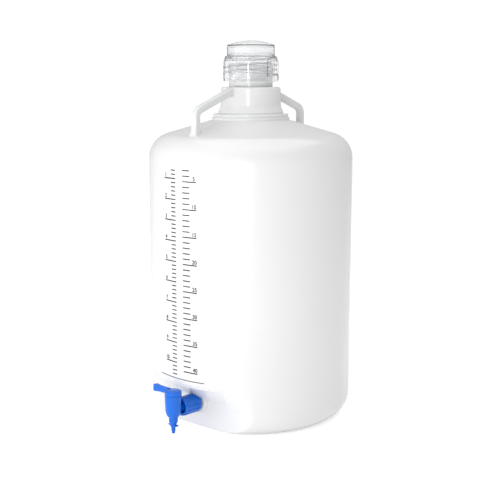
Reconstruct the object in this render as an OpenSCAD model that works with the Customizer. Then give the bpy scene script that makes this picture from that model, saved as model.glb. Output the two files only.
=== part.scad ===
// Fifty litre dispensing bottle with a two-piece screw closure and a quarter-turn tap.
// Millimetres. The origin is the centre of the base, +Z is up and the tap points along -Y.

/* [Bottle] */
// Outside diameter of the body
body_d = 372; // [320:1:420]
// Height at which the straight side turns into the shoulder
side_top = 477.5; // [380:0.5:560]
// Thickness of the blow-moulded wall
wall = 3.2; // [2.4:0.1:4]
// Radius of the corner between side and base
base_corner_r = 58; // [40:1:64]
// Radius of the corner between side and shoulder
shoulder_corner_r = 46.5; // [34:0.5:56]
// Slope of the shoulder cone, in degrees
shoulder_slope = 16.4; // [12:0.1:19]
// Inner radius of the ring that the bottle stands on
foot_ring_r = 96; // [80:1:100]
// Height of the dished middle of the base
base_dish = 4; // [2:0.5:6]

/* [Neck] */
// Radius of the neck under its thread
neck_r = 39.6; // [38:0.1:42]
// Thickness of the neck's wall under its thread
neck_wall = 4.6; // [3.5:0.1:6]
// Radius of the thick block that carries the handles
block_r = 54; // [50:0.5:58]
// Height of that block
block_h = 46.5; // [38:0.5:52]
// Height of the neck above the block
neck_h = 47.5; // [45:0.5:58]
// Radius of the bead ring under the block
bead_r = 71; // [66:0.5:76]
// Height of the bead ring
bead_h = 10.5; // [8:0.5:13]

/* [Closure] */
// Pitch of the screw thread
pitch = 8.4; // [7.6:0.1:8.8]
// Depth of the thread
thread_depth = 1.8; // [1.2:0.1:2]
// Play between the neck and the ring's thread
thread_play = 0.5; // [0.4:0.05:0.6]
// Thickness of the ring's skirt at its foot, outside the dome's flange
ring_wall = 4.7; // [3.8:0.1:8]
// Height of the screw ring
ring_h = 45.5; // [42:0.5:47]
// Width of the dome's flange outside its wall
dome_step = 1.7; // [1.2:0.1:2.6]
// Height of the dome's straight wall above the ring
dome_wall_h = 19.5; // [12:0.5:26]
// Rise of the dome's crown
dome_rise = 8.3; // [4:0.1:12]
// Number of grip ribs on the ring
rib_count = 9; // [8:1:12]

/* [Handles] */
// Width of a handle bar
bar_w = 12; // [8:0.5:14]
// Thickness of a handle bar
bar_t = 13; // [9:0.5:14]
// Distance of a handle's leg from the bottle's axis
leg_s = 144.5; // [135:0.5:150]
// Slope of a handle's upper arm, in degrees
arm_slope = 20.6; // [16:0.1:24]

/* [Tap] */
// Height of the tap's inlet above the base
tap_z = 47; // [42:0.5:56]
// Distance of the flat tap panel from the bottle's axis
panel_s = 139; // [132:0.5:142]
// Distance of the tap's barrel from the flat panel
barrel_reach = 67.5; // [66:0.5:74]
// Radius of the valve plug
plug_r = 9; // [8.2:0.1:10.5]
// Thickness of the barrel's wall round the plug's collar
barrel_wall = 3.4; // [2.6:0.1:5]
// Radius of the waterways
port_r = 4; // [3:0.1:4.5]
// Length of the lever from the barrel's axis
lever_l = 45; // [36:0.5:56]
// Thickness of the union nut's wall between its flutes
nut_wall = 4.5; // [2.8:0.1:6]
// Length of the union nut
nut_l = 38; // [34:0.5:39]
// Number of grip flutes on the union nut
flute_count = 12; // [8:1:16]

/* [Hidden] */
$fn = 96;
body_r = body_d/2;
cut_over = 1;                       // how far a cutting tool runs past what it cuts
run_play = 0.06;                    // radial play of the turning plug
seat_play = 0.1;                    // play of pieces that slide together once
move_gap = 0.4;                     // gap between faces that pass each other

// heights up the bottle
corner_end_r = body_r - shoulder_corner_r*(1 - sin(shoulder_slope));
corner_end_z = side_top + shoulder_corner_r*cos(shoulder_slope);
bead_z = round(cone_z(bead_r)*10)/10;  // in tenths, so that what stacks on it meets exactly
block_z = bead_z + bead_h + 2;
block_top = block_z + block_h;
rim_z = block_top + neck_h;
neck_foot = block_top + 1;          // where the neck slice starts, in its plain tube
mouth_r = neck_r - neck_wall;
block_in_r = block_r - wall - 0.8;

// closure
gasket_t = 2;
flange_t = 3;
lip_t = 2.6;
lip_gap = 0.3;                      // gap between the dome's flange and the ring's lip
crest_r = neck_r + thread_depth;
ring_bore_r = crest_r + thread_play;
flange_r = ring_bore_r + 3;
dome_r = flange_r - dome_step;
ring_r = flange_r + move_gap + ring_wall;
flange_z = rim_z + gasket_t;
lip_z = flange_z + flange_t + lip_gap;
ring_top = lip_z + lip_t;
ring_z = ring_top - ring_h;
dome_top = ring_top + dome_wall_h;
dome_t = 2.5;
draft = 1.6;                        // how much narrower the ring is at its top
rib_out = 1.3;
rib_deg = 12;
rib_start = 33.5;                   // angle of the first rib, where the ring stops when it is tight
neck_turns = 4;
ring_turns = 2.5;
thread_foot = 3.6;                    // width of a thread ridge at its root
neck_thread_z = rim_z - 5.3 - neck_turns*pitch;
ring_thread_z = neck_thread_z + 1.5*pitch;

// handles
bend_r = 14;
arm_top_s = 46;                     // where the bar's centre line starts, inside the block
pad_w = 14;
pad_h = 15;
pad_s = block_r + 2.5;
leg_l = 60;                         // length of the straight leg, most of it inside the shoulder
arm_l = (leg_s - arm_top_s)/cos(arm_slope);
bend_l = bend_r*tan(45 - arm_slope/2);  // how much of the arm and of the leg the bend takes
arm_rise = (leg_s - arm_top_s)*tan(arm_slope);
arm_z = block_top - 4.2;            // height of the centre line where it starts
bend_z = arm_z - arm_rise;

// tap, along its inlet: distances from the bottle's axis
recess_top = tap_z + 14;            // height of the flat panel's upper edge
ledge_slope = 0.5;                  // rise of the ledge above it, per millimetre outwards
ledge_reach = recess_top + ledge_slope*(body_r - panel_s);
foot_top = ledge_reach + 6;         // where the foot slice ends, just above the panel
spout_bore_r = 8;
spout_r = spout_bore_r + 3.4;
boss_r = spout_r + 9.6;
boss_l = 8;
boss_s = panel_s + boss_l;
spout_s = boss_s + 18;
tail_gasket_t = 1.5;
tail_flange_t = 2.5;
tail_bore_r = port_r + 0.4;
tail_r = tail_bore_r + 3.2;
tail_flange_s = spout_s + tail_gasket_t;
nut_s = boss_s + 3.6;
nut_web_s = tail_flange_s + tail_flange_t;
nut_web_t = 4;
nut_bore_r = spout_r + 1.3;         // over the spout's thread
nut_r = nut_bore_r + nut_wall;
flute_r = 2.1;
flute_depth = 1.3;
barrel_s = panel_s + barrel_reach;

// tap, up its barrel: heights from the inlet's axis
barrel_top = 26;
taper_z = -4;
foot_curve_r = 6;                   // radius of the curve from the barrel into its stem
barrel_foot = -14;
tip_gap = 3.4;                      // how far the tip stays above what the bottle stands on
tip_end = tip_gap - tap_z;
stem_end = tip_end + 18.1;
nozzle_socket_r = port_r + 1;
stem_r = nozzle_socket_r + 3;
plug_foot = -9;
collar_z = 19;
collar_t = 3;
collar_r = plug_r + 2.5;
barrel_r = collar_r + run_play + barrel_wall;
foot_r = barrel_r - 1.2;            // the barrel's radius where it starts to curve in
retainer_t = 2;
retainer_z = collar_z + collar_t + 0.2;
neck_stem_r = 7;
key_w = 8.4;
key_h = 7;
hub_r = barrel_r + 0.1;
hub_h = 8.5;
blade_t = 7;
blade_h = 12.5;
o_ring_t = 0.9;
o_ring_z = [-7, 12];
seat_r = port_r + 2.4;
seat_l = 6;
seat_s = barrel_s - plug_r - 4;
nozzle_neck_r = nozzle_socket_r + 0.8;
nozzle_bore_r = port_r - 0.5;
ear_z = stem_end - 2.9;
ear_t = 2.2;
ear_span = 22;
tip_top = stem_end - 5.5;
tip_straight = 5;                   // length of the straight hose seat
tip_r = [port_r - 0.1, port_r - 1.3];
outlet_r = 1.6;

// Height of the shoulder cone's outside at radius r
function cone_z(r) = corner_end_z + (corner_end_r - r)*tan(shoulder_slope);

// Points on an arc about c, from angle a to angle b
function arc(c, r, a, b, steps = 12) =
    [for (i = [0:steps]) let (t = a + (b - a)*i/steps) [c[0] + r*cos(t), c[1] + r*sin(t)]];

// The side of the bottle from the base corner to the shoulder cone, moved in by inset
function side_profile(inset) = concat(
    arc([body_r - base_corner_r, base_corner_r], base_corner_r - inset, -90, 0),
    arc([body_r - shoulder_corner_r, side_top], shoulder_corner_r - inset, 0, 90 - shoulder_slope));

// A point on the shoulder cone at radius r, moved in by inset
function cone_point(r, inset) = [r, cone_z(r) - inset/cos(shoulder_slope)];

// One turn of a helical ridge: sections of four points, fading in and out at its ends
function ridge_point(t, turns, root, crest, p, foot, k) =
    let (fade = max(0.05, min(1, t/0.12, (turns - t)/0.12)),
         r = k == 0 || k == 3 ? root : root + (crest - root)*fade,
         half = (k == 0 || k == 3 ? foot : foot*0.45)/2,
         z = p*t + (k < 2 ? -half : half))
    [r*cos(360*t), r*sin(360*t), z];

module ridge(turns, root, crest, p, foot, per_turn = 24) {
    n = ceil(turns*per_turn);
    pts = [for (i = [0:n]) for (k = [0:3]) ridge_point(i*turns/n, turns, root, crest, p, foot, k)];
    side = [for (i = [0:n - 1]) for (k = [0:3]) let (a = 4*i + k, b = 4*i + (k + 1)%4)
            each [[a, b, a + 4], [b, b + 4, a + 4]]];
    ends = [[0, 3, 2], [0, 2, 1], [4*n, 4*n + 1, 4*n + 2], [4*n, 4*n + 2, 4*n + 3]];
    // an outward ridge and an inward one wind opposite ways
    faces = concat(side, ends);
    polyhedron(pts, crest > root ? faces : [for (f = faces) [f[2], f[1], f[0]]]);
}

// Places a shape whose own axis is +Z along the tap's inlet, with z counted from the bottle's axis
module along_inlet() {
    translate([0, 0, tap_z]) rotate([90, 0, 0]) children();
}

// Places a shape on the barrel's axis, with z counted from the inlet's axis
module on_barrel() {
    translate([0, -barrel_s, tap_z]) children();
}

// What the bottle would be if it were solid, without its tap panel
module bottle_outside() {
    rotate_extrude() polygon(concat(
        [[0, base_dish], [foot_ring_r - base_dish, base_dish], [foot_ring_r, 0]],
        side_profile(0),
        [cone_point(bead_r, 0), [bead_r, bead_z + bead_h*0.42], [bead_r - 3, bead_z + bead_h*0.5],
         [bead_r - 2, bead_z + bead_h*0.58], [bead_r - 2.4, bead_z + bead_h],
         [block_r + 6, block_z - 1]],
        arc([block_r + 21, block_z + 16], 20.5, 219, 180, 6),
        arc([block_r - 3.5, block_top - 3.5], 3.5, 0, 90, 6),
        [[neck_r, block_top], [neck_r, rim_z - 1], [neck_r - 1, rim_z], [0, rim_z]]));
}

// The space for liquid, without its tap panel
module bottle_inside() {
    floor_z = base_dish + wall;
    rotate_extrude() polygon(concat(
        [[0, floor_z], [foot_ring_r - 1, floor_z], [foot_ring_r + 2, wall]],
        side_profile(wall),
        [cone_point(block_in_r, wall), [block_in_r, block_top - 9], [mouth_r, block_top - 3.5],
         [mouth_r, rim_z + cut_over], [0, rim_z + cut_over]]));
}

// What the flat panel and its sloping ledge take off the bottle, moved in by inset
module panel_cut(inset) {
    far = body_r + 10;
    face = panel_s - inset;
    top = recess_top + inset;
    rotate([90, 0, -90])
        linear_extrude(2*body_r, center = true)
            polygon([[face, -cut_over], [far, -cut_over],
                     [far, top + ledge_slope*(far - face)], [face, top]]);
}

// The whole blow-moulded shell without its thread
module shell() {
    difference() {
        union() {
            difference() {
                bottle_outside();
                panel_cut(0);
            }
            along_inlet() translate([0, 0, panel_s - wall]) cylinder(r = boss_r, h = boss_l + wall);
            along_inlet() translate([0, 0, boss_s - cut_over])
                cylinder(r = spout_r, h = spout_s - boss_s + cut_over);
        }
        difference() {
            bottle_inside();
            panel_cut(wall);
        }
        along_inlet() translate([0, 0, panel_s - 2*wall])
            cylinder(r = spout_bore_r, h = spout_s - panel_s + 3*wall);
    }
}

// The slice of the shell between two heights: the one moulding is kept as five simple solids
module shell_slice(low, high) {
    color("white") intersection() {
        shell();
        translate([-body_r - 50, -body_r - 50, low]) cube([body_d + 100, body_d + 100, high - low]);
    }
}

module bottle_foot() {
    shell_slice(-cut_over, foot_top);
}

module bottle_side() {
    shell_slice(foot_top, side_top);
}

module bottle_shoulder() {
    shell_slice(side_top, bead_z);
}

module bottle_block() {
    shell_slice(bead_z, neck_foot);
}

module bottle_neck() {
    color("white") union() {
        shell_slice(neck_foot, rim_z + cut_over);
        translate([0, 0, neck_thread_z]) ridge(neck_turns, neck_r - 0.4, crest_r, pitch, thread_foot);
    }
}

module handle() {
    color("white")
        difference() {
            union() {
                rotate([90, 0, -90]) {
                    // arm
                    translate([leg_s, bend_z, 0]) rotate([0, 0, -arm_slope])
                        translate([-arm_l, -bar_t/2, -bar_w/2]) cube([arm_l - bend_l, bar_t, bar_w]);
                    // bend
                    translate([leg_s - bend_r, bend_z - bend_l, -bar_w/2])
                        rotate_extrude(angle = 90 - arm_slope)
                            translate([bend_r - bar_t/2, 0]) square([bar_t, bar_w]);
                    // leg
                    translate([leg_s - bar_t/2, bend_z - bend_l - leg_l, -bar_w/2])
                        cube([bar_t, leg_l, bar_w]);
                }
                // pad on the block
                translate([-pad_w/2, -pad_s, arm_z - pad_h + 2.5]) cube([pad_w, 12, pad_h]);
            }
            bottle_outside();
        }
}

module front_handle() {
    handle();
}

module rear_handle() {
    rotate([0, 0, 180]) handle();
}

module closure_ring() {
    skirt_h = ring_h - 6;
    rib_root_r = ring_r - 4;
    color([0.85, 0.9, 0.92, 0.4]) {
        difference() {
            union() {
                rotate_extrude() polygon([[0, ring_z], [ring_r, ring_z], [ring_r - draft, ring_z + skirt_h],
                                          [ring_r - draft - 1.9, ring_top], [0, ring_top]]);
                for (i = [0:rib_count - 1])
                    rotate([0, 0, rib_start + i*360/rib_count - rib_deg/2])
                        rotate_extrude(angle = rib_deg)
                            polygon([[rib_root_r, ring_z + 1.5], [ring_r + rib_out, ring_z + 1.5],
                                     [ring_r - draft + rib_out, ring_z + skirt_h - 2],
                                     [rib_root_r, ring_z + skirt_h + 1]]);
            }
            translate([0, 0, ring_z - cut_over]) cylinder(r = ring_bore_r, h = lip_z - ring_z + cut_over);
            translate([0, 0, rim_z - cut_over])
                cylinder(r = flange_r + move_gap, h = lip_z - rim_z + cut_over);
            translate([0, 0, lip_z - cut_over]) cylinder(r = dome_r + move_gap, h = lip_t + 2*cut_over);
        }
        translate([0, 0, ring_thread_z])
            ridge(ring_turns, ring_bore_r + 0.6, neck_r + thread_play, pitch, thread_foot - 0.4);
    }
}

module closure_dome() {
    crown_r = (dome_r*dome_r + dome_rise*dome_rise)/(2*dome_rise);
    crown_z = dome_top + dome_rise - crown_r;
    crown_deg = asin(dome_r/crown_r);
    inner_deg = asin((dome_r - dome_t)/(crown_r - dome_t));
    color([0.85, 0.9, 0.92, 0.4])
        rotate_extrude() polygon(concat(
            [[mouth_r, flange_z], [flange_r, flange_z], [flange_r, flange_z + flange_t],
             [dome_r, flange_z + flange_t]],
            arc([0, crown_z], crown_r, 90 - crown_deg, 90, 10),
            arc([0, crown_z], crown_r - dome_t, 90, 90 - inner_deg, 10),
            [[dome_r - dome_t, flange_z + flange_t], [mouth_r, flange_z + flange_t - 0.5]]));
}

module closure_gasket() {
    color("gainsboro")
        translate([0, 0, rim_z]) difference() {
            cylinder(r = neck_r + 0.8, h = gasket_t);
            translate([0, 0, -cut_over]) cylinder(r = mouth_r + 0.8, h = gasket_t + 2*cut_over);
        }
}

module tap_body() {
    color("royalblue")
        difference() {
            union() {
                on_barrel() rotate_extrude() polygon(concat(
                    [[0, barrel_top], [barrel_r, barrel_top], [foot_r, taper_z]],
                    arc([foot_r - foot_curve_r, barrel_foot + 8], foot_curve_r, 0, -75, 6),
                    [[stem_r, barrel_foot], [stem_r, stem_end + 3], [stem_r - 1.6, stem_end],
                     [0, stem_end]]));
                along_inlet() translate([0, 0, tail_flange_s]) {
                    cylinder(r = tail_r, h = barrel_s - tail_flange_s);
                    cylinder(r = spout_r, h = tail_flange_t);
                }
            }
            on_barrel() {
                translate([0, 0, plug_foot])
                    cylinder(r = plug_r + run_play, h = barrel_top - plug_foot + cut_over);
                translate([0, 0, collar_z])
                    cylinder(r = collar_r + run_play, h = barrel_top - collar_z + cut_over);
                translate([0, 0, plug_foot - 3]) cylinder(r = port_r, h = 4);
                translate([0, 0, stem_end - cut_over])
                    cylinder(r = nozzle_socket_r, h = plug_foot - 2 - stem_end);
            }
            along_inlet() {
                translate([0, 0, tail_flange_s - cut_over])
                    cylinder(r = tail_bore_r, h = barrel_s - tail_flange_s);
                translate([0, 0, seat_s]) cylinder(r = seat_r, h = plug_r);
            }
        }
}

module union_nut() {
    color("royalblue")
        along_inlet() difference() {
            union() {
                translate([0, 0, nut_s]) linear_extrude(nut_l - 2) difference() {
                    circle(r = nut_r);
                    for (i = [0:flute_count - 1])
                        rotate(i*360/flute_count) translate([nut_r + flute_r - flute_depth, 0])
                            circle(r = flute_r, $fn = 24);
                }
                translate([0, 0, nut_s + nut_l - 2]) cylinder(r1 = nut_r - 1.1, r2 = nut_r - 2.6, h = 2);
            }
            translate([0, 0, nut_s - cut_over]) cylinder(r = nut_bore_r, h = nut_web_s - nut_s + cut_over);
            translate([0, 0, nut_web_s - cut_over]) cylinder(r = tail_r + move_gap, h = nut_l);
            translate([0, 0, nut_web_s + nut_web_t]) cylinder(r = nut_bore_r - 1.2, h = nut_l);
        }
}

module tail_gasket() {
    color("dimgray")
        along_inlet() translate([0, 0, spout_s]) difference() {
            cylinder(r = spout_r, h = tail_gasket_t);
            translate([0, 0, -cut_over]) cylinder(r = tail_bore_r + 1.2, h = tail_gasket_t + 2*cut_over);
        }
}

module valve_plug() {
    color("mediumblue")
        on_barrel() difference() {
            union() {
                translate([0, 0, plug_foot]) cylinder(r = plug_r, h = collar_z - plug_foot);
                translate([0, 0, collar_z + seat_play]) cylinder(r = collar_r, h = collar_t - seat_play);
                translate([0, 0, collar_z]) cylinder(r = neck_stem_r, h = barrel_top - collar_z);
                translate([-key_w/2, -key_w/2, barrel_top - 1]) cube([key_w, key_w, key_h + 1]);
            }
            translate([0, 0, plug_foot - cut_over]) cylinder(r = port_r - 0.3, h = -plug_foot + cut_over);
            rotate([0, 90, 0]) cylinder(r = port_r - 0.3, h = plug_r + cut_over);
            for (z = o_ring_z) translate([0, 0, z]) o_ring_shape(plug_r + 1);
        }
}

// An O-ring in its groove, or, with a larger outer radius, the groove itself
module o_ring_shape(outer_r) {
    difference() {
        translate([0, 0, -o_ring_t]) cylinder(r = outer_r, h = 2*o_ring_t);
        translate([0, 0, -2*o_ring_t]) cylinder(r = plug_r - 2*o_ring_t, h = 4*o_ring_t);
    }
}

module o_ring(z) {
    color("black")
        on_barrel() translate([0, 0, z])
            rotate_extrude() translate([plug_r - o_ring_t, 0]) circle(r = o_ring_t, $fn = 32);
}

module upper_o_ring() {
    o_ring(o_ring_z[1]);
}

module lower_o_ring() {
    o_ring(o_ring_z[0]);
}

module inlet_seat() {
    color("ivory")
        difference() {
            along_inlet() translate([0, 0, seat_s]) difference() {
                cylinder(r = seat_r, h = seat_l);
                translate([0, 0, -cut_over]) cylinder(r = port_r, h = seat_l + 2*cut_over);
            }
            on_barrel() translate([0, 0, -15]) cylinder(r = plug_r + run_play, h = 30);
        }
}

module plug_retainer() {
    color("ivory")
        on_barrel() translate([0, 0, retainer_z]) difference() {
            cylinder(r = collar_r + run_play, h = retainer_t);
            translate([0, 0, -cut_over]) cylinder(r = neck_stem_r + move_gap, h = retainer_t + 2*cut_over);
        }
}

module tap_lever() {
    hub_z = barrel_top + move_gap;
    color("royalblue")
        on_barrel() difference() {
            union() {
                translate([0, 0, hub_z]) rotate_extrude() polygon(concat(
                    [[0, 0], [hub_r, 0]],
                    arc([hub_r - 2.5, hub_h - 2.5], 2.5, 0, 80, 5),
                    [[hub_r - 7, hub_h + 0.6], [0, hub_h + 1]]));
                translate([-lever_l, -blade_t/2, hub_z - 0.5]) cube([lever_l - 6, blade_t, blade_h - 1.5]);
                translate([-lever_l, -blade_t/2 - 1.5, hub_z - 1]) cube([9, blade_t + 3, blade_h]);
            }
            translate([0, 0, hub_z - 2]) cylinder(r = hub_r + 0.2, h = 2);
            translate([-key_w/2, -key_w/2, barrel_top]) cube([key_w, key_w, key_h]);
        }
}

module outlet_nozzle() {
    color("royalblue")
        on_barrel() difference() {
            union() {
                translate([0, 0, stem_end]) cylinder(r = nozzle_socket_r - 0.02, h = 9);
                translate([0, 0, tip_top]) cylinder(r = nozzle_neck_r, h = stem_end - tip_top);
                translate([0, 0, tip_top - tip_straight]) cylinder(r = tip_r[0], h = tip_straight);
                translate([0, 0, tip_end])
                    cylinder(r1 = tip_r[1], r2 = tip_r[0], h = tip_top - tip_straight - tip_end);
                intersection() {
                    translate([-ear_span/2, -3, ear_z - ear_t/2]) cube([ear_span, 6, ear_t]);
                    translate([0, 0, ear_z - ear_t]) cylinder(r = ear_span/2, h = 2*ear_t);
                }
            }
            translate([0, 0, tip_end - cut_over]) cylinder(r = outlet_r, h = tip_top - tip_end + 3);
            translate([0, 0, tip_top + 2]) cylinder(r1 = outlet_r, r2 = nozzle_bore_r, h = 4);
            translate([0, 0, tip_top + 5.99]) cylinder(r = nozzle_bore_r, h = 20);
        }
}

bottle_foot();
bottle_side();
bottle_shoulder();
bottle_block();
bottle_neck();
front_handle();
rear_handle();
closure_ring();
closure_dome();
closure_gasket();
tap_body();
union_nut();
tail_gasket();
valve_plug();
upper_o_ring();
lower_o_ring();
inlet_seat();
plug_retainer();
tap_lever();
outlet_nozzle();
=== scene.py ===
import math

import bmesh
import bpy
from mathutils import Matrix, Vector


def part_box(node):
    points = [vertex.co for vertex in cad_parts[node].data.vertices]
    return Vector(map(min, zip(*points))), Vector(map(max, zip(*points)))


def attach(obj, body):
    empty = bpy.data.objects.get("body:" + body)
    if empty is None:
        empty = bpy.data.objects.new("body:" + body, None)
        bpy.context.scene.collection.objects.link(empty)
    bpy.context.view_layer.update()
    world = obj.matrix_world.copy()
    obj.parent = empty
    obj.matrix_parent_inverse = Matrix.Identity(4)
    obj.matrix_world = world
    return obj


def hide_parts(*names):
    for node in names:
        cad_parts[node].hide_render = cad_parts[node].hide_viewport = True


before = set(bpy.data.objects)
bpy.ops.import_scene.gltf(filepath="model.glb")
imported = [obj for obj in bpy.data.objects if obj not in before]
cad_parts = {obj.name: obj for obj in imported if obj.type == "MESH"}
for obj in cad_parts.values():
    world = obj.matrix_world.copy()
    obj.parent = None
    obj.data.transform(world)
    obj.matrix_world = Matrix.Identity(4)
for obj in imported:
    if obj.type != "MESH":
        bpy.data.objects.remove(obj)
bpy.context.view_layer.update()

mm = 0.001

# ---------------------------------------------------------------------------------------------
# The view. The bottle is seen from the height of its neck, looking a little down, with the tap to
# the left of the nearest point, through a long lens, so its sides stay almost parallel.
# ---------------------------------------------------------------------------------------------
camera_distance = 1.8994
camera_height = 0.6213
camera_azimuth = math.radians(41)
camera_pitch = math.radians(9.05)
camera_yaw = math.radians(0.457)
camera_lens = 76.7

camera = bpy.data.objects.new("camera", bpy.data.cameras.new("camera"))
camera.data.lens = camera_lens
camera.data.sensor_width = 36
camera.location = (camera_distance*math.sin(camera_azimuth), -camera_distance*math.cos(camera_azimuth),
                   camera_height)
camera.rotation_euler = (math.radians(90) - camera_pitch, 0, camera_azimuth + camera_yaw)
bpy.context.scene.collection.objects.link(camera)
bpy.context.scene.camera = camera

# ---------------------------------------------------------------------------------------------
# The bottle: one blow-moulded shell of white polyethylene, with its base, flat tap panel,
# sloping shoulder, bead and neck drawn from one tube. Its outline is turned about the axis, and
# the panel is pressed into the foot of the side that faces the tap.
# ---------------------------------------------------------------------------------------------
body_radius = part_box("bottle_side")[1][0]
side_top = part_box("bottle_shoulder")[0][2]
bead_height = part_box("bottle_block")[0][2]
rim_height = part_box("bottle_neck")[1][2]
wall = 3.2*mm
base_corner = 58*mm
base_dish = 4*mm
foot_ring = 96*mm
shoulder_corner = 46.5*mm
shoulder_slope = math.radians(16.4)
bead_radius = 71*mm
block_radius = 54*mm
block_inside = block_radius - 4*mm
block_top = rim_height - 47.5*mm
neck_radius = 39.6*mm
mouth_radius = 35*mm
panel_top = 100*mm
panel_distance = 139*mm
ledge_foot = 61*mm
ledge_slope = 0.5
ledge_corner = 8*mm
panel_edge = 3.5*mm


def outline(corners, turn=10):
    """The line through (x, y, fillet) corners. A fillet is an arc with a point every turn degrees."""
    line = []
    for i, (x, y, fillet) in enumerate(corners):
        corner = Vector((x, y))
        if not fillet:
            line.append(corner)
            continue
        back = Vector(corners[i - 1][:2]) - corner
        onward = Vector(corners[(i + 1) % len(corners)][:2]) - corner
        half = back.angle(onward)/2
        reach = min(fillet/math.tan(half), 0.48*back.length, 0.48*onward.length)
        radius = reach*math.tan(half)
        centre = corner + (back.normalized() + onward.normalized()).normalized()*(radius/math.sin(half))
        start = corner + back.normalized()*reach - centre
        end = corner + onward.normalized()*reach - centre
        sweep = math.atan2(start.x*end.y - start.y*end.x, start.dot(end))
        steps = max(2, round(abs(math.degrees(sweep))/turn))
        line += [centre + Matrix.Rotation(sweep*k/steps, 2) @ start for k in range(steps + 1)]
    return line


def turned(line, angles, closed=False, place=None):
    """Vertices and faces of a line of (radius, height) points turned about the Z axis.

    A point on the axis is one pole. place(i, angle, radius, height) may move a point in or out."""
    verts, rows, faces = [], [], []
    for i, (radius, height) in enumerate(line):
        if radius < 1e-7:
            rows.append([len(verts)]*len(angles))
            verts.append((0, 0, height))
            continue
        rows.append(range(len(verts), len(verts) + len(angles)))
        for angle in angles:
            r = place(i, angle, radius, height) if place else radius
            verts.append((r*math.cos(angle), r*math.sin(angle), height))
    pairs = list(zip(rows, rows[1:])) + ([(rows[-1], rows[0])] if closed else [])
    for low, high in pairs:
        for k in range(len(angles)):
            n = (k + 1) % len(angles)
            face = [low[k], low[n], high[n], high[k]]
            faces.append(list(dict.fromkeys(face)))
    return verts, faces


def around(count, start=0.0):
    """Equal angles all the way round."""
    return [start + 2*math.pi*k/count for k in range(count)]


def made(name, verts, faces, sharp=40):
    """A mesh object with its faces pointing outwards, smooth but for edges sharper than sharp degrees."""
    mesh = bpy.data.meshes.new(name)
    mesh.from_pydata([tuple(v) for v in verts], [], faces)
    shape = bmesh.new()
    shape.from_mesh(mesh)
    bmesh.ops.remove_doubles(shape, verts=shape.verts, dist=1e-7)
    bmesh.ops.recalc_face_normals(shape, faces=shape.faces)
    shape.to_mesh(mesh)
    shape.free()
    mesh.shade_smooth()
    mesh.set_sharp_from_angle(angle=math.radians(sharp))
    obj = bpy.data.objects.new(name, mesh)
    bpy.context.scene.collection.objects.link(obj)
    return obj


def joined(*parts):
    """Vertices and faces of several (verts, faces) parts as one."""
    verts, faces = [], []
    for part_verts, part_faces in parts:
        faces += [[k + len(verts) for k in face] for face in part_faces]
        verts += [tuple(v) for v in part_verts]
    return verts, faces


def fitted(obj, finish, body, slot, *nodes):
    """Gives a piece its finish, lets it move with a body and lets it stand for CAD nodes."""
    obj.data.materials.clear()
    obj.data.materials.append(finish)
    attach(obj, body)
    if nodes:
        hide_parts(*nodes)
    return obj


def moulded(name, colour, deep, cloud, gloss, grain, relief, **steady):
    """A moulded plastic: colour drifts to deep in clouds of a given size, and its skin has a fine grain.

    gloss is the roughness from the smoothest to the dullest places, grain the size of the skin's
    texture and relief its depth. steady holds the shader's own fixed values."""
    finish = bpy.data.materials.new(name)
    finish.use_nodes = True
    nodes, links = finish.node_tree.nodes, finish.node_tree.links
    shader = nodes["Principled BSDF"]
    place = nodes.new("ShaderNodeTexCoord")
    clouds = nodes.new("ShaderNodeTexNoise")
    clouds.inputs["Scale"].default_value = 1/cloud
    clouds.inputs["Detail"].default_value = 3
    tint = nodes.new("ShaderNodeMix")
    tint.data_type = "RGBA"
    tint.inputs["A"].default_value = (*colour, 1)
    tint.inputs["B"].default_value = (*deep, 1)
    skin = nodes.new("ShaderNodeTexNoise")
    skin.inputs["Scale"].default_value = 1/grain
    skin.inputs["Detail"].default_value = 4
    dullness = nodes.new("ShaderNodeMapRange")
    dullness.inputs["From Min"].default_value = 0.3
    dullness.inputs["From Max"].default_value = 0.7
    dullness.inputs["To Min"].default_value = gloss[0]
    dullness.inputs["To Max"].default_value = gloss[1]
    bump = nodes.new("ShaderNodeBump")
    bump.inputs["Distance"].default_value = relief
    bump.inputs["Strength"].default_value = 1
    links.new(place.outputs["Object"], clouds.inputs["Vector"])
    links.new(place.outputs["Object"], skin.inputs["Vector"])
    links.new(clouds.outputs["Fac"], tint.inputs["Factor"])
    links.new(tint.outputs["Result"], shader.inputs["Base Color"])
    links.new(clouds.outputs["Fac"], dullness.inputs["Value"])
    links.new(dullness.outputs["Result"], shader.inputs["Roughness"])
    links.new(skin.outputs["Fac"], bump.inputs["Height"])
    links.new(bump.outputs["Normal"], shader.inputs["Normal"])
    for socket, value in steady.items():
        shader.inputs[socket.replace("_", " ")].default_value = value
    return finish


def softer_least(a, b, edge):
    """The smaller of two lengths, rounded over where they come within edge of each other."""
    overlap = max(edge - abs(a - b), 0)/edge
    return min(a, b) - overlap*overlap*edge/4


def softer_most(a, b, edge):
    """The larger of two lengths, filled in where they come within edge of each other."""
    return -softer_least(-a, -b, edge)


def filled_in(line, gap):
    """The same line with points added wherever two are further apart than gap(height)."""
    points = [line[0]]
    for a, b in zip(line, line[1:]):
        steps = max(1, math.ceil((b - a).length/gap((a.y + b.y)/2)))
        points += [a.lerp(b, k/steps) for k in range(1, steps + 1)]
    return points


def shell_line(inset):
    """The outline of the shell from the middle of its base to the bead, moved in by inset."""
    side = body_radius - inset
    drop = inset/math.cos(shoulder_slope)
    corner_run = shoulder_corner*(1 - math.sin(shoulder_slope))
    cone_end = side_top + shoulder_corner*math.cos(shoulder_slope)

    def cone(radius):
        return cone_end + (body_radius - corner_run - radius)*math.tan(shoulder_slope) - drop

    base = [(0, base_dish + inset, 0), (foot_ring - 7*mm, base_dish + inset, 3*mm),
            (foot_ring, inset, 3*mm), (side, inset, base_corner - inset)]
    return base, (side, cone(side), shoulder_corner - inset), cone


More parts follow.
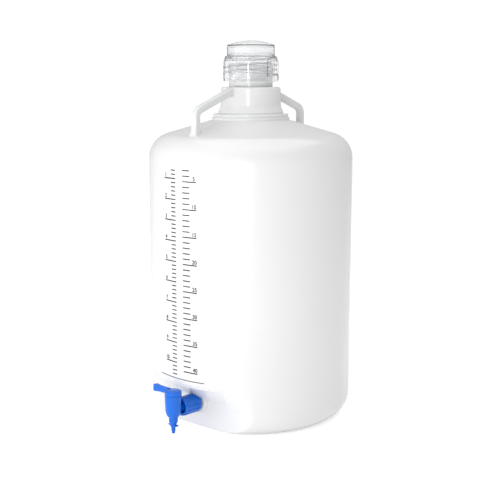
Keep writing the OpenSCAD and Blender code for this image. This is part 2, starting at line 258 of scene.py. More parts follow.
outer_base, outer_shoulder, outer_cone = shell_line(0)
inner_base, inner_shoulder, inner_cone = shell_line(wall)
outer_line = outline(outer_base + [
    outer_shoulder, (bead_radius - 0.8*mm, outer_cone(bead_radius), 1*mm),
    (bead_radius, bead_height + 4.6*mm, 1*mm), (bead_radius - 3.4*mm, bead_height + 5*mm, 0.4*mm),
    (bead_radius - 2*mm, bead_height + 10.6*mm, 1.2*mm),
    (block_radius + 4.8*mm, bead_height + 11.4*mm, 0.8*mm),
    (block_radius + 5.4*mm, bead_height + 14*mm, 1.5*mm), (block_radius + 1*mm, bead_height + 24*mm, 16*mm),
    (block_radius, block_top, 4*mm), (neck_radius, block_top, 1*mm),
    (neck_radius, rim_height, 1*mm)], turn=3.5)
inner_line = outline([
    (mouth_radius, rim_height, 0.8*mm), (mouth_radius, block_top - 3.5*mm, 3*mm),
    (block_inside, block_top - 9*mm, 4*mm), (block_inside, inner_cone(block_inside), 6*mm),
    inner_shoulder] + inner_base[::-1], turn=8)
outer_line = filled_in(outer_line, lambda height: 1.5*mm if height < panel_top else 24*mm)
inner_line = filled_in(inner_line, lambda height: 6*mm if height < panel_top else 40*mm)
# points sit closer together across the panel, half a degree apart, than round the back
front = [math.radians(-90 + k/2) for k in range(-114, 115)]
back_count = 76
back = [front[-1] + (2*math.pi - front[-1] + front[0])*k/back_count for k in range(1, back_count)]


def pressed(i, angle, radius, height):
    """Where the panel and its ledge hold the shell back, on its outside and on its inside."""
    ahead = -math.sin(angle)
    if ahead < 0.3:  # round the side and the back, well clear of the panel
        return radius
    inset = 0 if i < len(outer_line) else wall
    ledge = panel_distance + (height - ledge_foot)/ledge_slope
    limit = softer_most(panel_distance, ledge, ledge_corner) - inset
    return softer_least(radius, limit/ahead, panel_edge)


bottle_plastic = moulded(
    "white_polyethylene", (0.725, 0.725, 0.73), (0.7, 0.7, 0.705), cloud=0.16, gloss=(0.16, 0.24),
    grain=1.6*mm, relief=0.01*mm, IOR=1.5, Coat_Weight=0.25, Coat_Roughness=0.08)
bottle = made("bottle", *turned(outer_line + inner_line, front + back, place=pressed))
fitted(bottle, bottle_plastic, "bottle", "bottle_plastic",
       "bottle_foot", "bottle_side", "bottle_shoulder", "bottle_block", "bottle_neck")

# ---------------------------------------------------------------------------------------------
# The neck's thread: a coarse rounded ridge of four turns, moulded with the neck. It fades in
# and out at its ends as a moulded thread does.
# ---------------------------------------------------------------------------------------------
thread_pitch = 8.4*mm
thread_depth = 1.8*mm
thread_width = 3.6*mm
thread_fade = 0.12
neck_turns = 4
neck_thread_foot = rim_height - 5.3*mm - neck_turns*thread_pitch


def thread(root, crest, width, turns, foot, per_turn=72):
    """Vertices and faces of a right-handed thread ridge between two radii, its ends fading away."""
    flank = [(0, -0.5), (0.55, -0.36), (0.92, -0.25), (1, -0.12)]
    profile = flank + [(out, -along) for out, along in flank[::-1]]
    count = math.ceil(turns*per_turn)
    verts, faces = [], []
    for i in range(count + 1):
        turn = turns*i/count
        fade = max(0.03, min(1, turn/thread_fade, (turns - turn)/thread_fade))
        for out, along in profile:
            radius = root + (crest - root)*out*fade
            verts.append((radius*math.cos(2*math.pi*turn), radius*math.sin(2*math.pi*turn),
                          foot + thread_pitch*turn + width*along))
    n = len(profile)
    for i in range(count):
        faces += [[n*i + k, n*i + (k + 1) % n, n*(i + 1) + (k + 1) % n, n*(i + 1) + k] for k in range(n)]
    faces += [list(range(n)), list(range(n*count, n*count + n))]
    return verts, faces


neck_thread = made("neck_thread", *thread(neck_radius - 0.4*mm, neck_radius + thread_depth, thread_width,
                                          neck_turns, neck_thread_foot))
fitted(neck_thread, bottle_plastic, "bottle", "bottle_plastic")

# ---------------------------------------------------------------------------------------------
# The tap boss: a thick round pad moulded out of the flat panel, with the short spout that the
# tap's union nut screws on to. The pad runs into the panel in a soft curve.
# ---------------------------------------------------------------------------------------------
inlet_height = sum(corner[2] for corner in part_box("tail_gasket"))/2
spout_end = -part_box("tail_gasket")[1][1]
boss_end = spout_end - 18*mm
boss_radius = 21*mm
spout_radius = 11.4*mm
spout_bore = 8*mm
boss_root = panel_distance - 1*mm


def along_inlet(verts, faces):
    """Lays a shape made along +Z along the inlet, its heights counted from the bottle's axis."""
    return [(x, -z, y + inlet_height) for x, y, z in verts], faces


boss_line = outline([
    (boss_radius + 9*mm, boss_root, 0), (boss_radius + 8*mm, panel_distance + 0.05*mm, 0.4*mm),
    (boss_radius + 0.6*mm, panel_distance + 0.3*mm, 5*mm), (boss_radius, boss_end, 2.2*mm),
    (spout_radius + 1.2*mm, boss_end, 0.6*mm), (spout_radius, boss_end + 1*mm, 0.6*mm),
    (spout_radius, spout_end, 0.5*mm), (spout_bore, spout_end, 0.4*mm), (spout_bore, boss_root, 0)])
boss = made("tap_boss", *along_inlet(*turned(boss_line, around(96), closed=True)))
fitted(boss, bottle_plastic, "bottle", "bottle_plastic")

# ---------------------------------------------------------------------------------------------
# The two handles: solid bars moulded apart and welded on hot, one over the tap and one behind.
# Each runs from a square pad on the neck's block down the slope, round a bend and into the shoulder.
# ---------------------------------------------------------------------------------------------
bar_width = 12*mm
bar_thickness = 13*mm
pad_width = 14*mm
pad_height = 15*mm
leg_distance = -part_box("front_handle")[0][1] - bar_thickness/2
arm_slope = math.radians(20.6)
arm_start = block_radius - 6*mm
arm_height = block_top - 4.2*mm
bend_radius = 14*mm
flare_height = 13.5*mm


def arm_line(distance):
    """Height of the middle of the sloping arm at a distance from the axis."""
    return arm_height - (distance - block_radius + 8*mm)*math.tan(arm_slope)


def rounded_section(centre, across, up, width, height, corner, steps=4):
    """A ring of points round a rounded rectangle."""
    ring = []
    for quarter, (sx, sy) in enumerate(((1, 1), (-1, 1), (-1, -1), (1, -1))):
        for k in range(steps + 1):
            angle = math.radians(90*(quarter + k/steps))
            x = sx*(width/2 - corner) + corner*math.cos(angle)
            y = sy*(height/2 - corner) + corner*math.sin(angle)
            ring.append(centre + across*x + up*y)
    return ring


def lofted(rings):
    """Vertices and faces of a bar through equal rings of points, closed at both ends."""
    n = len(rings[0])
    verts = [point for ring in rings for point in ring]
    faces = [[n*i + k, n*i + (k + 1) % n, n*(i + 1) + (k + 1) % n, n*(i + 1) + k]
             for i in range(len(rings) - 1) for k in range(n)]
    return verts, faces + [list(range(n)), list(range(n*(len(rings) - 1), n*len(rings)))]


def handle_shape(side):
    """The bar and its pad. side is -1 for the handle over the tap and 1 for the one behind."""
    across = Vector((1, 0, 0))
    line = outline([
        (arm_start, arm_line(arm_start), 0), (leg_distance, arm_line(leg_distance), bend_radius),
        (leg_distance, outer_cone(leg_distance) - 3*mm, 0)], turn=9)
    line = filled_in(line, lambda height: 6*mm)
    rings = []
    for i, point in enumerate(line):
        along = (line[min(i + 1, len(line) - 1)] - line[max(i - 1, 0)]).normalized()
        up = Vector((0, -side*along.y, along.x))
        to_foot = max(0, flare_height - (point.y - line[-1].y))/(9*mm)
        flare = 1 + 0.28*to_foot**2
        rings.append(rounded_section(Vector((0, side*point.x, point.y)), across, up,
                                     bar_width*flare, bar_thickness*flare, 2.6*mm))
    pad_rings = []
    for depth, size in ((-3*mm, 1), (1.6*mm, 1), (2.3*mm, 0.96), (2.6*mm, 0.88)):
        centre = Vector((0, side*(block_radius + depth), arm_height - 5*mm))
        pad_rings.append(rounded_section(centre, across, Vector((0, 0, 1)), pad_width*size, pad_height*size,
                                         2*mm*size))
    return joined(lofted(rings), lofted(pad_rings))


handle_plastic = moulded(
    "handle_polyethylene", (0.715, 0.715, 0.72), (0.68, 0.69, 0.70), cloud=0.05, gloss=(0.24, 0.34),
    grain=0.9*mm, relief=0.012*mm, IOR=1.5)
for name, side in (("front_handle", -1), ("rear_handle", 1)):
    fitted(made(f"{name}_bar", *handle_shape(side)), handle_plastic, "bottle", "bottle_plastic", name)

# ---------------------------------------------------------------------------------------------
# The screw ring: clear injection-moulded plastic, open at the top, with broad grip ribs, a
# coarse thread inside and a lip that holds the dome down. The ribs are raised by Geometry Nodes.
# ---------------------------------------------------------------------------------------------
ring_low, ring_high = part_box("closure_ring")
ring_foot = ring_low[2]
ring_top = ring_high[2]
ring_radius = 50*mm
ring_draft = 1.6*mm
ring_play = 0.5*mm
ring_bore = neck_radius + thread_depth + ring_play
ring_turns = 2.5
dome_radius = 43.2*mm
dome_flange = ring_bore + 3*mm
dome_gap = 0.4*mm
lip_height = ring_top - 2.6*mm
rib_count = 9
rib_width = math.radians(13)
rib_first = math.radians(33.5)
rib_height = 1.3*mm


def math_node(tree, operation, a, b=0.0):
    """A maths node in a tree, fed by sockets or numbers. Returns its output."""
    node = tree.nodes.new("ShaderNodeMath")
    node.operation = operation
    for socket, value in zip(node.inputs, (a, b)):
        if isinstance(value, (int, float)):
            socket.default_value = value
        else:
            tree.links.new(value, socket)
    return node.outputs[0]


def input_sockets(tree, sizes):
    """Names a tree's inputs, its sizes among them, and its output. Returns the input node's sockets."""
    tree.interface.new_socket("Geometry", in_out="INPUT", socket_type="NodeSocketGeometry")
    tree.interface.new_socket("Finish", in_out="INPUT", socket_type="NodeSocketMaterial")
    for name, value in sizes.items():
        kind = "NodeSocketInt" if isinstance(value, int) else "NodeSocketFloat"
        tree.interface.new_socket(name, in_out="INPUT", socket_type=kind).default_value = value
    tree.interface.new_socket("Geometry", in_out="OUTPUT", socket_type="NodeSocketGeometry")
    return tree.nodes.new("NodeGroupInput").outputs


def output_finished(tree, given, geometry):
    """Ends a tree: its instances made real, in the finish it was given."""
    real = tree.nodes.new("GeometryNodeRealizeInstances")
    coat = tree.nodes.new("GeometryNodeSetMaterial")
    tree.links.new(geometry, real.inputs[0])
    tree.links.new(real.outputs[0], coat.inputs["Geometry"])
    tree.links.new(given["Finish"], coat.inputs["Material"])
    tree.links.new(coat.outputs[0], tree.nodes.new("NodeGroupOutput").inputs[0])


def finished_mesh(obj, tree, finish, sizes):
    """Runs a tree on an object with this finish and these sizes, and keeps the result as its plain mesh."""
    modifier = obj.modifiers.new("made", "NODES")
    modifier.node_group = tree
    values = {"Finish": finish, **sizes}
    for item in tree.interface.items_tree:
        if item.in_out == "INPUT" and item.name in values:
            modifier[item.identifier] = values[item.name]
    bpy.context.view_layer.update()
    evaluated = obj.evaluated_get(bpy.context.evaluated_depsgraph_get())
    mesh = bpy.data.meshes.new_from_object(evaluated)
    obj.modifiers.remove(modifier)
    obj.data = mesh
    mesh.shade_smooth()
    return obj


def ribs_tree():
    """Raises or sinks equal ribs round the Z axis on whatever part of a mesh lies beyond a radius."""
    tree = bpy.data.node_groups.new("grip_ribs", "GeometryNodeTree")
    sizes = {"Count": 9, "First Angle": 0.0, "Width": 0.2, "Rise": 0.001, "Beyond": 0.0, "From": 0.0,
             "To": 1.0}
    given = input_sockets(tree, sizes)
    where = tree.nodes.new("ShaderNodeSeparateXYZ")
    tree.links.new(tree.nodes.new("GeometryNodeInputPosition").outputs[0], where.inputs[0])
    x, y, z = where.outputs
    radius = math_node(tree, "SQRT", math_node(tree, "ADD", math_node(tree, "MULTIPLY", x, x),
                                               math_node(tree, "MULTIPLY", y, y)))
    angle = math_node(tree, "SUBTRACT", math_node(tree, "ARCTAN2", y, x), given["First Angle"])
    step = math_node(tree, "DIVIDE", 2*math.pi, given["Count"])
    turns = math_node(tree, "ADD", math_node(tree, "DIVIDE", angle, step), 100.5)
    off = math_node(tree, "MULTIPLY", math_node(tree, "ABSOLUTE", math_node(
        tree, "SUBTRACT", math_node(tree, "FRACT", turns), 0.5)), step)

    def fade(value, start, end):
        node = tree.nodes.new("ShaderNodeMapRange")
        node.interpolation_type = "SMOOTHSTEP"
        for name, source in (("Value", value), ("From Min", start), ("From Max", end)):
            if isinstance(source, (int, float)):
                node.inputs[name].default_value = source
            else:
                tree.links.new(source, node.inputs[name])
        return node.outputs[0]

    half = math_node(tree, "MULTIPLY", given["Width"], 0.5)
    shape = fade(off, half, math_node(tree, "MULTIPLY", half, 0.86))
    outside = fade(radius, math_node(tree, "SUBTRACT", given["Beyond"], 0.5*mm), given["Beyond"])
    low = fade(z, given["From"], math_node(tree, "ADD", given["From"], 1.5*mm))
    high = fade(z, given["To"], math_node(tree, "SUBTRACT", given["To"], 3*mm))
    rise = math_node(tree, "MULTIPLY", math_node(tree, "MULTIPLY", shape, outside),
                     math_node(tree, "MULTIPLY", math_node(tree, "MULTIPLY", low, high), given["Rise"]))
    share = math_node(tree, "DIVIDE", rise, radius)
    move = tree.nodes.new("ShaderNodeCombineXYZ")
    tree.links.new(math_node(tree, "MULTIPLY", x, share), move.inputs[0])
    tree.links.new(math_node(tree, "MULTIPLY", y, share), move.inputs[1])
    shift = tree.nodes.new("GeometryNodeSetPosition")
    tree.links.new(given["Geometry"], shift.inputs["Geometry"])
    tree.links.new(move.outputs[0], shift.inputs["Offset"])
    output_finished(tree, given, shift.outputs[0])
    return tree


clear_plastic = moulded(
    "clear_plastic", (0.97, 0.98, 0.985), (0.94, 0.95, 0.96), cloud=0.03, gloss=(0.02, 0.06), grain=2.5*mm,
    relief=0.006*mm, IOR=1.47, Transmission_Weight=0.95)
grip_ribs = ribs_tree()
ring_line = outline([
    (ring_radius, ring_foot, 0.8*mm), (ring_radius - ring_draft, ring_top - 6*mm, 2*mm),
    (ring_radius - ring_draft - 1.9*mm, ring_top, 1.2*mm), (dome_radius + dome_gap, ring_top, 0.4*mm),
    (dome_radius + dome_gap, lip_height, 0.3*mm), (dome_flange + dome_gap, lip_height, 0.3*mm),
    (dome_flange + dome_gap, rim_height - 1*mm, 0.5*mm), (ring_bore, rim_height - 1*mm, 0.4*mm),
    (ring_bore, ring_foot, 0.6*mm)], turn=15)
ring_line = filled_in(ring_line + ring_line[:1], lambda height: 4*mm)[:-1]
ring = made("screw_ring", *turned(ring_line, around(360), closed=True))
finished_mesh(ring, grip_ribs, clear_plastic, {
    "Count": rib_count, "First Angle": rib_first, "Width": rib_width, "Rise": rib_height,
    "Beyond": ring_radius - ring_draft - 1*mm, "From": ring_foot + 1.5*mm, "To": ring_top - 5*mm})
ring.data.set_sharp_from_angle(angle=math.radians(40))
fitted(ring, clear_plastic, "screw_ring", "clear_plastic", "closure_ring")
ring_thread = made("ring_thread", *thread(
    ring_bore + 0.5*mm, neck_radius + ring_play, thread_width - 0.4*mm, ring_turns,
    neck_thread_foot + (neck_turns - ring_turns)*thread_pitch))
fitted(ring_thread, clear_plastic, "screw_ring", "clear_plastic")

# ---------------------------------------------------------------------------------------------
# The dome: a clear moulded cup that stands upside down on the gasket and closes the mouth. Its
# flange is held under the ring's lip, its wall thickens towards it in two steps, and its crown
# is very slightly domed.
# ---------------------------------------------------------------------------------------------
dome_low, dome_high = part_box("closure_dome")
flange_thickness = 3*mm
dome_wall = 2.5*mm
dome_thickening = 0.8*mm
dome_bore = dome_radius - dome_wall
crown_rise = 8.3*mm
crown_edge = dome_high[2] - crown_rise


def crown(edge, rise, top, inwards):
    """Points of a shallow domed crown from its edge to its middle, or back again."""
    curve = (edge*edge + rise*rise)/(2*rise)
    sweep = math.asin(edge/curve)
    points = [(curve*math.sin(sweep*k/12), top - curve + curve*math.cos(sweep*k/12), 0) for k in range(13)]
    return points[::-1] if inwards else points


dome_line = outline(
    [(mouth_radius, dome_low[2], 0.4*mm), (dome_flange, dome_low[2], 0.5*mm),
     (dome_flange, dome_low[2] + flange_thickness, 0.5*mm),
     (dome_radius, dome_low[2] + flange_thickness, 0.6*mm),
     (dome_radius, crown_edge, 1.6*mm)] + crown(dome_radius, crown_rise, dome_high[2], True)[1:], turn=15)
dome_line += outline(
    crown(dome_bore, crown_rise - 0.4*mm, dome_high[2] - dome_wall, False)[:-1]
    + [(dome_bore, crown_edge - dome_wall, 1.5*mm), (dome_bore, crown_edge - 4.4*mm, 0.2*mm),
       (dome_bore - dome_thickening, crown_edge - 4.8*mm, 0.2*mm),
       (dome_bore - dome_thickening, ring_top + 3.2*mm, 0.2*mm),
       (dome_bore - 2*dome_thickening, ring_top + 2.7*mm, 0.2*mm),
       (dome_bore - 2*dome_thickening, dome_low[2] + flange_thickness, 1*mm),
       (mouth_radius, dome_low[2] + flange_thickness - 0.5*mm, 0.4*mm)], turn=15)
dome = made("closure_cup", *turned(dome_line, around(180), closed=True))
fitted(dome, clear_plastic, "closure", "clear_plastic", "closure_dome")

# ---------------------------------------------------------------------------------------------
# The gaskets and seals: soft rubber washers under the dome and the tap's tail, two O-rings on
# the plug, a plastic seat at the inlet and the washer that keeps the plug in.
# ---------------------------------------------------------------------------------------------
pale_rubber = moulded(
    "pale_silicone", (0.72, 0.72, 0.70), (0.66, 0.66, 0.64), cloud=0.02, gloss=(0.45, 0.6), grain=0.5*mm,
    relief=0.02*mm)
dark_rubber = moulded(
    "black_rubber", (0.03, 0.03, 0.03), (0.045, 0.045, 0.045), cloud=0.01, gloss=(0.5, 0.65), grain=0.4*mm,
    relief=0.02*mm)
seat_plastic = moulded(
    "seat_plastic", (0.78, 0.76, 0.70), (0.72, 0.70, 0.64), cloud=0.01, gloss=(0.3, 0.4), grain=0.4*mm,
    relief=0.01*mm)


def refinished(finish, *nodes):
    """Gives CAD nodes that stay as they are a finish."""
    for node in nodes:
        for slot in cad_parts[node].material_slots:
            slot.material = finish


refinished(pale_rubber, "closure_gasket")
refinished(dark_rubber, "tail_gasket", "upper_o_ring", "lower_o_ring")
refinished(seat_plastic, "inlet_seat", "plug_retainer")

# ---------------------------------------------------------------------------------------------
# The tap's body: a blue moulded barrel with a tapering foot and a round tail that the union nut
# pulls against the spout. The plug turns in its bore.
# ---------------------------------------------------------------------------------------------
plug_low, plug_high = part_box("valve_plug")
barrel_distance = -(plug_low[1] + plug_high[1])/2
barrel_radius = 15*mm
plug_radius = 9*mm
collar_radius = 11.5*mm
running_play = 0.06*mm
tail_radius = 7.6*mm
tail_end = spout_end + 1.5*mm
tail_flange = 2.5*mm
tail_root = barrel_distance - 12.6*mm
port_radius = 4*mm
tail_bore = port_radius + 0.4*mm
barrel_top = 26*mm
barrel_foot = -25.5*mm
plug_floor = -9*mm
port_floor = -11*mm
collar_floor = 19*mm
socket_radius = 5*mm


def on_barrel(verts, faces):
    """Moves a shape made on the Z axis to the barrel, its heights counted from the inlet."""
    return [(x, y - barrel_distance, z + inlet_height) for x, y, z in verts], faces


barrel_line = outline([
    (barrel_radius, barrel_top, 0.6*mm), (barrel_radius - 1.2*mm, -4*mm, 8*mm), (11.5*mm, -11*mm, 3*mm),
    (8.3*mm, -14.5*mm, 2*mm), (8*mm, -22.5*mm, 1*mm), (6.4*mm, barrel_foot, 0.6*mm),
    (socket_radius, barrel_foot, 0.3*mm), (socket_radius, port_floor, 0.4*mm),
    (port_radius, port_floor, 0.3*mm), (port_radius, plug_floor, 0.3*mm),
    (plug_radius + running_play, plug_floor, 0), (plug_radius + running_play, collar_floor, 0),
    (collar_radius + running_play, collar_floor, 0),
    (collar_radius + running_play, barrel_top, 0.3*mm)], turn=12)
tail_line = outline([
    (spout_radius, tail_end, 0.3*mm), (spout_radius, tail_end + tail_flange, 0.4*mm),
    (tail_radius, tail_end + tail_flange, 0.5*mm), (tail_radius, tail_root - 2.9*mm, 2*mm),
    (tail_radius + 1.5*mm, tail_root, 0), (tail_bore, tail_root, 0),
    (tail_bore, tail_end, 0.3*mm)], turn=15)
tap_blue = moulded(
    "tap_blue", (0.0, 0.135, 0.66), (0.0, 0.115, 0.57), cloud=0.03, gloss=(0.1, 0.2), grain=0.7*mm,
    relief=0.006*mm, IOR=1.46)
tap_body = made("tap_barrel", *joined(
    on_barrel(*turned(barrel_line, around(96), closed=True)),
    along_inlet(*turned(tail_line, around(72), closed=True))))
fitted(tap_body, tap_blue, "bottle", "tap_blue", "tap_body")
refinished(tap_blue, "valve_plug")

# ---------------------------------------------------------------------------------------------
# The union nut: a long blue nut that draws the tap on to the spout, with finger flutes all the
# way round it, sunk by the same Geometry Nodes as the ring's ribs.
# ---------------------------------------------------------------------------------------------
nut_low, nut_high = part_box("union_nut")
nut_start = -nut_high[1]
nut_end = -nut_low[1]
nut_radius = (nut_high[0] - nut_low[0])/2
nut_web = tail_end + tail_flange
nut_bore = spout_radius + 1.3*mm
nut_mouth = spout_radius + 0.2*mm
nut_eye = tail_radius + 0.4*mm
nut_lip = nut_web + 4*mm
flute_count = 12
flute_width = math.radians(15)

nut_line = outline([
    (nut_radius, nut_start, 1*mm), (nut_radius - 0.3*mm, nut_end - 2.5*mm, 1.2*mm),
    (nut_radius - 2.4*mm, nut_end, 0.8*mm), (nut_mouth, nut_end, 0.5*mm), (nut_mouth, nut_lip, 1*mm),
    (nut_eye, nut_lip, 0.4*mm), (nut_eye, nut_web, 0.3*mm), (nut_bore, nut_web, 0.3*mm),
    (nut_bore, nut_start, 0.5*mm)], turn=15)
nut_line = filled_in(nut_line + nut_line[:1], lambda height: 3*mm)[:-1]
nut = made("grip_nut", *turned(nut_line, around(240), closed=True))
# A slightly darker copy of the tap's own blue, used as painted shade on the nut and the nozzle, which are
# moulded in the same blue.
tap_navy = moulded(
    "tap_navy", (0.0, 0.135, 0.64), (0.0, 0.112, 0.54), cloud=0.02, gloss=(0.14, 0.24), grain=0.7*mm,
    relief=0.008*mm, IOR=1.46)
finished_mesh(nut, grip_ribs, tap_navy, {
    "Count": flute_count, "First Angle": flute_width, "Width": flute_width, "Rise": -1.1*mm,
    "Beyond": nut_radius - 2*mm, "From": nut_start - 2*mm, "To": nut_end + 0.5*mm})
verts, faces = along_inlet([v.co for v in nut.data.vertices], [list(p.vertices) for p in nut.data.polygons])
bpy.data.objects.remove(nut)
nut = made("grip_nut", verts, faces, sharp=50)
fitted(nut, tap_navy, "bottle", "tap_navy", "union_nut")

# ---------------------------------------------------------------------------------------------
# The lever: a round blue cap over the barrel with a flat blade to one side, pressed on to the
# plug's square key. A quarter turn opens the tap.
# ---------------------------------------------------------------------------------------------
lever_reach = -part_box("tap_lever")[0][0]
hub_foot = barrel_top + 0.4*mm
hub_radius = barrel_radius + 0.1*mm
key_width = 8.4*mm
key_reach = key_width*0.71
key_depth = 7*mm

hub_line = outline([
    (key_reach, hub_foot, 0), (hub_radius, hub_foot, 0.6*mm), (hub_radius, hub_foot + 7.6*mm, 2.2*mm),
    (hub_radius - 6*mm, hub_foot + 9*mm, 4*mm), (0, hub_foot + 9.4*mm, 0)], turn=12)
hub_line += [Vector((0, hub_foot + key_depth)), Vector((key_reach, hub_foot + key_depth))]


def upright_section(distance, height_at, width, height, corner):
    """A ring of points across the X axis, at a distance along it."""
    return rounded_section(Vector((distance, 0, height_at)), Vector((0, 1, 0)), Vector((0, 0, 1)),
                           width, height, corner)


blade_rings = []
for short, width, height, lift in (
        (36, 7, 10, 5.4), (31, 7, 10.4, 5.4), (26, 6.6, 11, 5.3), (19, 6.4, 11.4, 5.3),
        (12, 6.6, 11.6, 5.4), (8, 7.6, 12, 5.5), (5, 9.4, 12.3, 5.6), (0.7, 10, 12.4, 5.6),
        (0, 9.2, 11.6, 5.6)):
    blade_rings.append(upright_section(short*mm - lever_reach, hub_foot + lift*mm,
                                       width*mm, height*mm, 1.6*mm))
hub = turned(hub_line, around(96), closed=True)
lever = made("tap_handle", *on_barrel(*joined(hub, lofted(blade_rings))))
fitted(lever, tap_blue, "valve", "tap_blue", "tap_lever")

# ---------------------------------------------------------------------------------------------
# The nozzle: a stepped blue tip pushed into the barrel's foot, with two bayonet ears and a
# tapering end that a hose slips over.
# ---------------------------------------------------------------------------------------------
nozzle_low, nozzle_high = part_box("outlet_nozzle")
nozzle_end = nozzle_low[2] - inlet_height
nozzle_top = -16.5*mm
nozzle_radius = socket_radius - 0.02*mm
nozzle_neck = 5.8*mm
tip_root = 3.9*mm
nozzle_bore = 3.5*mm
tip_bore = 1.6*mm
ear_reach = (nozzle_high[0] - nozzle_low[0])/2
ear_height = -28.4*mm

nozzle_line = outline([
    (nozzle_radius, nozzle_top, 0.3*mm), (nozzle_radius, barrel_foot, 0),
    (nozzle_neck, barrel_foot, 0.3*mm), (nozzle_neck, -31*mm, 0.8*mm),
    (tip_root, -31.4*mm, 0.5*mm), (tip_root, -36*mm, 1*mm), (2.7*mm, nozzle_end, 0.5*mm),
    (tip_bore, nozzle_end, 0.2*mm), (tip_bore, -29*mm, 1*mm), (nozzle_bore, -25*mm, 1*mm),
    (nozzle_bore, nozzle_top, 0.3*mm)], turn=15)
ear_rings = []
for share, width, height in (
        (-1, 4.4, 1.4), (-0.96, 5, 2), (-0.8, 6, 2.2), (0.8, 6, 2.2), (0.96, 5, 2), (1, 4.4, 1.4)):
    ear_rings.append(upright_section(share*ear_reach, ear_height, width*mm, height*mm, 0.6*mm))
stem = turned(nozzle_line, around(72), closed=True)
nozzle = made("hose_nozzle", *on_barrel(*joined(stem, lofted(ear_rings))))
# The nozzle takes the darker copy of the tap's blue: painted shade.
fitted(nozzle, tap_navy, "bottle", "tap_navy", "outlet_nozzle")

# ---------------------------------------------------------------------------------------------
# The printed scale: black ink, litres to the right of the tap's line and gallons to the left,
# both counting downwards. Geometry Nodes lay out the marks and wrap them round the side.
# ---------------------------------------------------------------------------------------------
ink_height = 0.25*mm
mark_thickness = 1.9*mm
litre_step = 9.556*mm
litre_five = 446.7*mm
gallon_step = 36.1*mm
gallon_one = 450.7*mm
marks_a_gallon = 5
# the marks' ends, in degrees round from the tap
litre_edge, litre_short, litre_long = 2, 6.9, 11.3
gallon_edge, gallon_short, gallon_long = -3.1, -6.6, -12.3
numeral_size = 7.2*mm
numeral_lift = 2.4*mm


def marks_tree():
    """A column of level marks on the bottle's side, each from one angle to another."""
    tree = bpy.data.node_groups.new("scale_marks", "GeometryNodeTree")
    sizes = {"Count": 10, "Top": 0.4, "Step": 0.01, "From Angle": 0.0, "To Angle": 0.1, "Thickness": 0.001,
             "Radius": 0.186, "Ink": 0.0001}
    given = input_sockets(tree, sizes)
    width = math_node(tree, "MULTIPLY", math_node(tree, "SUBTRACT", given["To Angle"], given["From Angle"]),
                      given["Radius"])
    middle = math_node(tree, "MULTIPLY", math_node(tree, "MULTIPLY", math_node(
        tree, "ADD", given["To Angle"], given["From Angle"]), 0.5), given["Radius"])
    mark = tree.nodes.new("GeometryNodeMeshCube")
    mark.inputs["Vertices X"].default_value = 9
    size = tree.nodes.new("ShaderNodeCombineXYZ")
    tree.links.new(width, size.inputs[0])
    tree.links.new(given["Ink"], size.inputs[1])
    tree.links.new(given["Thickness"], size.inputs[2])
    tree.links.new(size.outputs[0], mark.inputs["Size"])
    line = tree.nodes.new("GeometryNodeMeshLine")
    start = tree.nodes.new("ShaderNodeCombineXYZ")
    tree.links.new(middle, start.inputs[0])
    tree.links.new(given["Top"], start.inputs[2])
    step = tree.nodes.new("ShaderNodeCombineXYZ")
    tree.links.new(math_node(tree, "MULTIPLY", given["Step"], -1), step.inputs[2])
    tree.links.new(given["Count"], line.inputs["Count"])
    tree.links.new(start.outputs[0], line.inputs["Start Location"])
    tree.links.new(step.outputs[0], line.inputs["Offset"])
    copies = tree.nodes.new("GeometryNodeInstanceOnPoints")
    tree.links.new(line.outputs[0], copies.inputs["Points"])
    tree.links.new(mark.outputs["Mesh"], copies.inputs["Instance"])
    real = tree.nodes.new("GeometryNodeRealizeInstances")
    tree.links.new(copies.outputs[0], real.inputs[0])
    where = tree.nodes.new("ShaderNodeSeparateXYZ")
    tree.links.new(tree.nodes.new("GeometryNodeInputPosition").outputs[0], where.inputs[0])
    radius = math_node(tree, "SUBTRACT", given["Radius"], where.outputs[1])
    angle = math_node(tree, "DIVIDE", where.outputs[0], given["Radius"])
    wrapped = tree.nodes.new("ShaderNodeCombineXYZ")
    tree.links.new(math_node(tree, "MULTIPLY", radius, math_node(tree, "SINE", angle)), wrapped.inputs[0])
    tree.links.new(math_node(tree, "MULTIPLY", math_node(tree, "MULTIPLY", radius, math_node(
        tree, "COSINE", angle)), -1), wrapped.inputs[1])
    tree.links.new(where.outputs[2], wrapped.inputs[2])
    wrap = tree.nodes.new("GeometryNodeSetPosition")
    tree.links.new(real.outputs[0], wrap.inputs["Geometry"])
    tree.links.new(wrapped.outputs[0], wrap.inputs["Position"])
    output_finished(tree, given, wrap.outputs[0])
    return tree


ink = moulded(
    "black_ink", (0.004, 0.004, 0.005), (0.01, 0.01, 0.012), cloud=4*mm, gloss=(0.6, 0.8), grain=0.8*mm,
    relief=0.005*mm)
scale_marks = marks_tree()


def printed(verts, faces, name):
    """A flat print in the XZ plane, wrapped round the bottle's side."""
    wrapped = []
    for x, y, z in verts:
        radius = body_radius + y
        wrapped.append((radius*math.sin(x/body_radius), -radius*math.cos(x/body_radius), z))
    return fitted(made(name, wrapped, faces, sharp=30), ink, "bottle", None)


def marks(name, count, top, step, from_angle, to_angle, thickness=mark_thickness):
    """One column of printed marks, as its own piece."""
    obj = made(name, [(0, 0, 0)], [])
    finished_mesh(obj, scale_marks, ink, {
        "Count": count, "Top": top, "Step": step, "From Angle": math.radians(from_angle),
        "To Angle": math.radians(to_angle), "Thickness": thickness, "Radius": body_radius,
        "Ink": 2*ink_height})
    return fitted(obj, ink, "bottle", None)


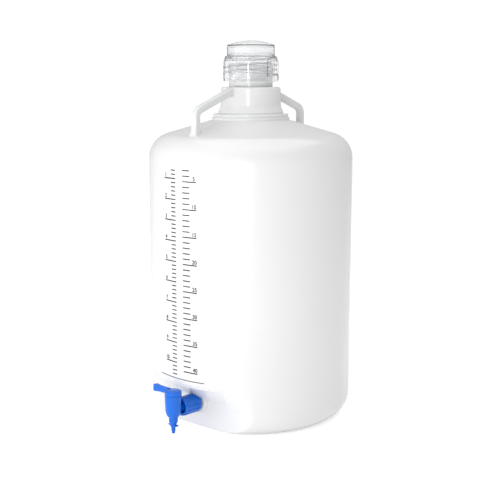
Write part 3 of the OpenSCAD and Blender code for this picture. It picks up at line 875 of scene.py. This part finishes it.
def numeral(number, angle, height):
    """Vertices and faces of a numeral's ink, upright in the XZ plane, centred at an angle over a mark."""
    curve = bpy.data.curves.new("numeral", "FONT")
    curve.body = str(number)
    curve.size = numeral_size*1.38  # a capital is this much lower than the font's size
    curve.align_x = "CENTER"
    curve.extrude = ink_height
    curve.offset = 0.2*mm
    obj = bpy.data.objects.new("numeral", curve)
    bpy.context.scene.collection.objects.link(obj)
    mesh = bpy.data.meshes.new_from_object(obj.evaluated_get(bpy.context.evaluated_depsgraph_get()))
    across = math.radians(angle)*body_radius
    verts = [(v.co.x + across, v.co.z, v.co.y + height + numeral_lift) for v in mesh.vertices]
    faces = [list(p.vertices) for p in mesh.polygons]
    bpy.data.objects.remove(obj)
    bpy.data.curves.remove(curve)
    return verts, faces


marks("litre_marks", 38, litre_five + 2*litre_step, litre_step, litre_edge, litre_short)
marks("litre_long_marks", 8, litre_five, 5*litre_step, litre_edge, litre_long)
gallon_part = gallon_step/marks_a_gallon
marks("gallon_marks", 51, gallon_one + 2*gallon_part, gallon_part, gallon_short, gallon_edge)
marks("gallon_long_marks", 10, gallon_one, gallon_step, gallon_long, gallon_edge)
printed(*joined(*[numeral(5*k + 5, litre_long - 1.5, litre_five - 5*k*litre_step) for k in range(8)]),
        "litre_numerals")
printed(*joined(*[numeral(k + 1, gallon_long + 1.1, gallon_one - k*gallon_step) for k in range(10)]),
        "gallon_numerals")
marks("foot_rule", 1, 97*mm, 1*mm, -18, 15.5, 1.3*mm)

# ---------------------------------------------------------------------------------------------
# The studio: a plain white floor and surround, a broad soft light low on the left whose edge
# shows down the middle of the bottle, a narrow one near the camera that shines on the neck, and
# a large one overhead.
# ---------------------------------------------------------------------------------------------
floor_reach = 6
floor_height = -0.5*mm


def glow(tree, strength, thrown, seen):
    """Feeds a strength socket with one value for what is seen and one for the light thrown.

    The eye, and a look through clear plastic, meet the brighter one, so that the surround stays
    white while the bottle keeps its shading."""
    ray = tree.nodes.new("ShaderNodeLightPath")
    either = math_node(tree, "MAXIMUM", ray.outputs["Is Camera Ray"], ray.outputs["Is Transmission Ray"])
    share = tree.nodes.new("ShaderNodeMapRange")
    share.inputs["To Min"].default_value = thrown
    share.inputs["To Max"].default_value = seen
    tree.links.new(either, share.inputs["Value"])
    tree.links.new(share.outputs["Result"], strength)


floor = made("floor", [(floor_reach*x, floor_reach*y, floor_height) for x, y in
                       ((-1, -1), (1, -1), (1, 1), (-1, 1))], [[0, 1, 2, 3]])
floor_paint = bpy.data.materials.new("floor_paint")
floor_paint.use_nodes = True
floor_shader = floor_paint.node_tree.nodes["Principled BSDF"]
floor_shader.inputs["Base Color"].default_value = (0.95, 0.95, 0.95, 1)
floor_shader.inputs["Roughness"].default_value = 0.8
floor_shader.inputs["Emission Color"].default_value = (1, 1, 1, 1)
glow(floor_paint.node_tree, floor_shader.inputs["Emission Strength"], thrown=0.14, seen=0.45)
floor.data.materials.append(floor_paint)


def soft_light(name, size, power, azimuth, distance, height, aim):
    """A rectangular light at an azimuth from the camera's side, facing the axis at a height."""
    light = bpy.data.lights.new(name, "AREA")
    light.shape = "RECTANGLE"
    light.size, light.size_y = size
    light.energy = power
    obj = bpy.data.objects.new(name, light)
    angle = camera_azimuth + math.radians(azimuth)
    obj.location = (distance*math.sin(angle), -distance*math.cos(angle), height)
    obj.rotation_euler = (Vector((0, 0, aim)) - obj.location).to_track_quat("-Z", "Y").to_euler()
    obj.visible_camera = False
    bpy.context.scene.collection.objects.link(obj)


soft_light("left_softbox", (3.3, 0.46), 19, -45, 1.63, 0.34, 0.34)
soft_light("strip_light", (0.11, 0.36), 2.0, -10.8, 1.63, 0.66, 0.66)
soft_light("overhead_softbox", (3.0, 3.0), 34, 90, 0.2, 2.6, 0)
world = bpy.data.worlds.new("studio")
bpy.context.scene.world = world
world.use_nodes = True
sky = world.node_tree.nodes["Background"]
sky.inputs["Color"].default_value = (1, 1, 1, 1)
glow(world.node_tree, sky.inputs["Strength"], thrown=0.6, seen=1.05)
bpy.context.scene.view_settings.view_transform = "Standard"
